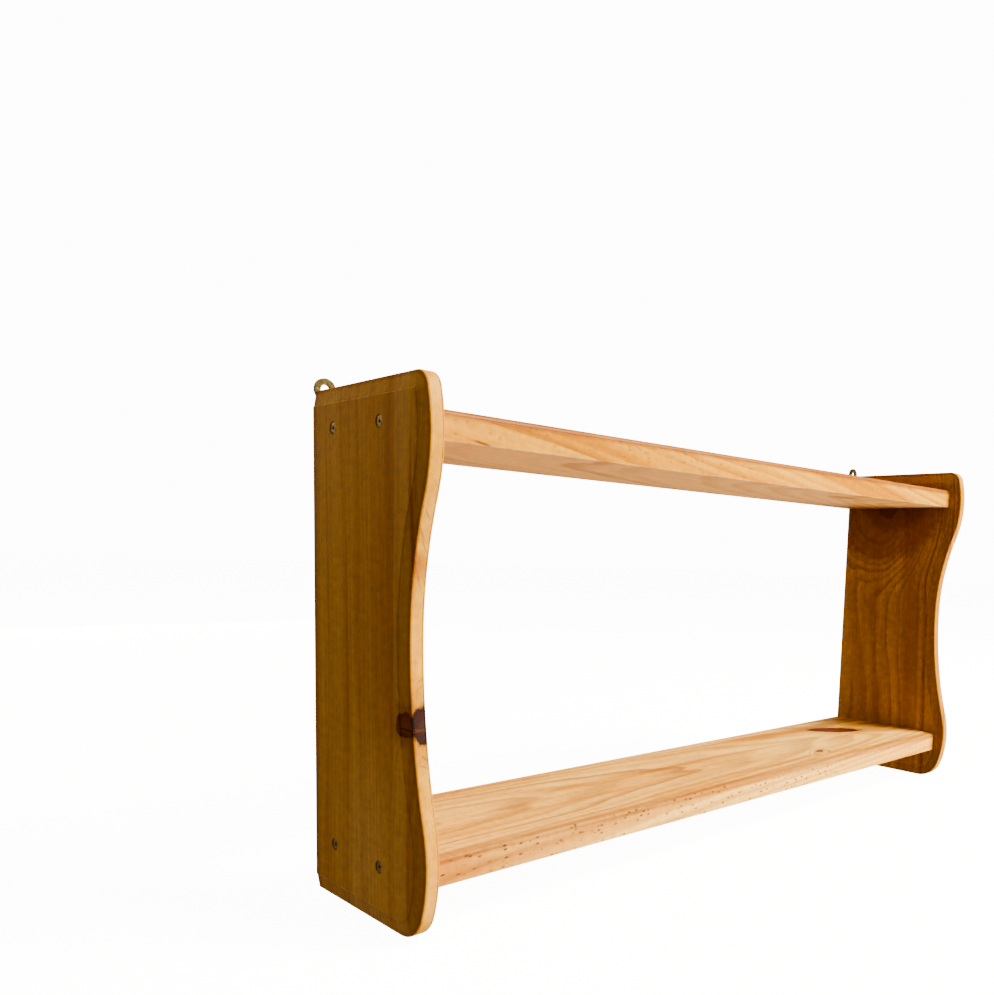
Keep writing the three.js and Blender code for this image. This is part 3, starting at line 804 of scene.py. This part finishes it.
for side in ("left", "right"):
    for row, twist in (("upper", 0.3), ("lower", 0.9)):
        node = f"{side}_eye_{row}_screw"
        body, slots = wood_screw(PLATE_SCREW, PLATE_SCREW_RECESS, PLATE_SCREW_THREAD)
        sunk = plate_screw_place(node) @ Matrix.Translation((0, 0, -PLATE_SCREW_SINK))
        place = sunk @ Matrix.Rotation(twist, 4, "Z")
        put_screw(f"{node}_turned", body, slots, place, aged_brass, node)


# Stage
# A plain pale floor under soft studio light: a broad lamp from the front right, the light that the
# floor there throws back up under the shelves, and a faint even fill. The left is left in shade.
# The lamps below the floor stand for that thrown light, so the floor lets light through.

FLOOR_HALF_WIDTH = 12
LAMPS_AIM = Vector((0, 0, 0.18))

floor_mesh = bpy.data.meshes.new("floor")
bm = bmesh.new()
bmesh.ops.create_grid(bm, x_segments=1, y_segments=1, size=FLOOR_HALF_WIDTH)
bm.to_mesh(floor_mesh)
bm.free()
floor = bpy.data.objects.new("floor", floor_mesh)
floor.visible_diffuse = False
floor.visible_glossy = False
floor.visible_shadow = False
bpy.context.scene.collection.objects.link(floor)
pale = bpy.data.materials.new("pale_studio_floor")
pale.use_nodes = True
paper = pale.node_tree.nodes["Principled BSDF"]
paper.inputs["Base Color"].default_value = linear("#b4b3b1")
paper.inputs["Roughness"].default_value = 0.9
paper.inputs["Emission Color"].default_value = linear("#ffffff")
paper.inputs["Emission Strength"].default_value = 3.8
floor_mesh.materials.append(pale)

# Name, place, size in metres, power in watts and colour
lamps = (
    ("key", (1.4, -1.75, 2.35), 1.4, 206, "#fff3dc"),
    ("floor_bounce", (0.95, -1.05, -0.9), 1.2, 50, "#ffeccc"),
    ("overhead", (-0.95, 0.1, 1.9), 1.0, 5, "#ffe6c8"),
    ("back_left", (-1.3, 1.7, 0.7), 0.6, 1.6, "#ffecd4"),
    ("behind", (0.1, 2.2, 0.6), 1.2, 8, "#fff3e4"),
    ("floor_left", (-1.1, -0.1, -0.9), 1.0, 1.3, "#ffe6c8"),
)
for name, place, size, power, colour in lamps:
    lamp = bpy.data.lights.new(name, "AREA")
    lamp.size = size
    lamp.energy = power
    lamp.color = linear(colour)[:3]
    light = bpy.data.objects.new(name, lamp)
    light.location = place
    light.rotation_euler = (LAMPS_AIM - light.location).to_track_quat("-Z", "Y").to_euler()
    light.visible_camera = False
    bpy.context.scene.collection.objects.link(light)

world = bpy.data.worlds.new("studio")
bpy.context.scene.world = world
world.use_nodes = True
tree = world.node_tree
path = add(tree, "LightPath")
paper = add(tree, "Background", {"Color": linear("#ffffff"), "Strength": 4})
fill = tree.nodes["Background"]
fill.inputs["Color"].default_value = linear("#f4e4d2")
# Shiny surfaces see a paler room than the faint fill that the dull ones get
glow = add(
    tree, "Math", {0: path.outputs["Is Glossy Ray"], 1: 0.4, 2: 0.16}, operation="MULTIPLY_ADD"
).outputs[0]
tree.links.new(glow, fill.inputs["Strength"])
mixed = add(
    tree, "MixShader", {0: path.outputs["Is Camera Ray"], 1: fill.outputs[0], 2: paper.outputs[0]}
).outputs[0]
tree.links.new(mixed, tree.nodes["World Output"].inputs["Surface"])

bpy.context.scene.view_settings.view_transform = "AgX"
bpy.context.scene.view_settings.look = "AgX - High Contrast"


# Camera
# The photograph's viewpoint, from the front left at half the shelf's height. The part stands low and
# right in the photograph, and the lens shift keeps that framing.

lens = bpy.data.cameras.new("camera")
lens.sensor_width = 36
lens.lens = 32.4967
lens.shift_x = -0.15583
lens.shift_y = 0.15595
lens.clip_start = 0.01
camera = bpy.data.objects.new("camera", lens)
camera.location = (-0.633889, -0.533247, 0.24649)
camera.rotation_mode = "QUATERNION"
camera.rotation_quaternion = (0.6896495, 0.6101012, -0.2715967, -0.2799919)
bpy.context.scene.collection.objects.link(camera)
bpy.context.scene.camera = camera
